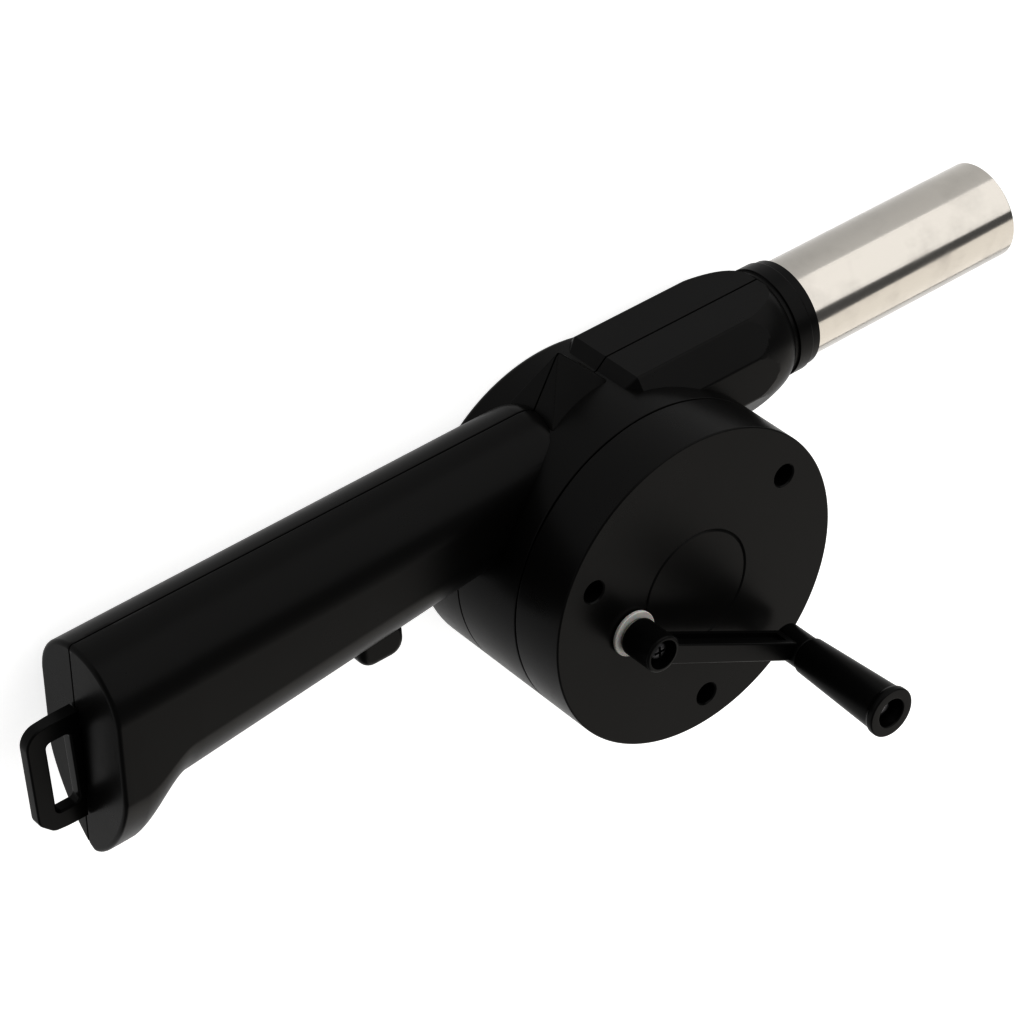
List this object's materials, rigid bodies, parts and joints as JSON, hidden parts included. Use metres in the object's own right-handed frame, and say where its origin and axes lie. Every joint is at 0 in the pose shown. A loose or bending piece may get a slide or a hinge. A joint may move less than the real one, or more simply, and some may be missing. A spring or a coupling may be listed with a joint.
{
  "type": "hand cranked barbecue blower",
  "caption": "Hand-cranked air blower for a barbecue: a drum with a crank, a moulded handle and a straight steel air tube.",
  "frame": {"origin": "centre of the drum's flat back, the face that the blower lies on", "axes": "+X out along the steel air tube, +Y towards the straight back of the handle, +Z along the drum's axis towards the crank"},
  "size_m": [0.2612, 0.0853, 0.0869],
  "materials": {
    "black_shell_plastic": "satin, finely grained moulded plastic",
    "black_crank_plastic": "glossy moulded plastic",
    "black_fan_plastic": "plain moulded plastic",
    "white_nylon": "smooth white nylon",
    "natural_acetal": "smooth natural acetal",
    "polished_steel": "bright drawn and polished tube",
    "zinc_screw_steel": "bright zinc plated steel",
    "sintered_brass": "sintered bush metal"
  },
  "bodies": {
    "housing": {"rear_shell": "black_shell_plastic", "front_shell": "black_shell_plastic", "gear_cover": "black_shell_plastic", "hanging_loop": "black_shell_plastic", "nozzle_collar": "black_shell_plastic", "nozzle_tube": "polished_steel", "hub_washer": "white_nylon", "fan_bush": "sintered_brass", "first_idler_pin": "zinc_screw_steel", "second_idler_pin": "zinc_screw_steel", "crank_gear_pin": "zinc_screw_steel", "cover_screw_1": "zinc_screw_steel", "cover_screw_2": "zinc_screw_steel", "cover_screw_3": "zinc_screw_steel", "butt_screw": "zinc_screw_steel", "grip_screw": "zinc_screw_steel", "drum_screw": "zinc_screw_steel"},
    "crank": {"crank_gear": "natural_acetal", "crank_arm": "black_crank_plastic", "crank_screw": "zinc_screw_steel", "knob_pin": "zinc_screw_steel"},
    "knob": {"crank_knob": "black_crank_plastic"},
    "first_idler": {"first_idler_gear": "natural_acetal"},
    "second_idler": {"second_idler_gear": "natural_acetal"},
    "fan": {"impeller": "black_fan_plastic", "fan_shaft": "zinc_screw_steel", "fan_pinion": "natural_acetal"}
  },
  "joints": [
    {"name": "crank_turn", "type": "hinge", "parent": "housing", "child": "crank", "pos_m": [-0.018, -0.002, 0], "axis": [0, 0, 1], "continuous": true},
    {"name": "knob_turn", "type": "hinge", "parent": "crank", "child": "knob", "pos_m": [0.02101, -0.023, 0], "axis": [0, 0, 1], "continuous": true},
    {"name": "first_idler_turn", "type": "hinge", "parent": "housing", "child": "first_idler", "pos_m": [-0.0088, 0.01393, 0], "axis": [0, 0, 1], "continuous": true},
    {"name": "second_idler_turn", "type": "hinge", "parent": "housing", "child": "second_idler", "pos_m": [0.008, 0.01386, 0], "axis": [0, 0, 1], "continuous": true},
    {"name": "fan_turn", "type": "hinge", "parent": "housing", "child": "fan", "pos_m": [0, 0, 0], "axis": [0, 0, 1], "continuous": true}
  ],
  "couplings": [
    {"joint": "first_idler_turn", "follows": "crank_turn", "ratio": -2.8333},
    {"joint": "second_idler_turn", "follows": "crank_turn", "ratio": 7.0833},
    {"joint": "fan_turn", "follows": "crank_turn", "ratio": -21.25}
  ]
}
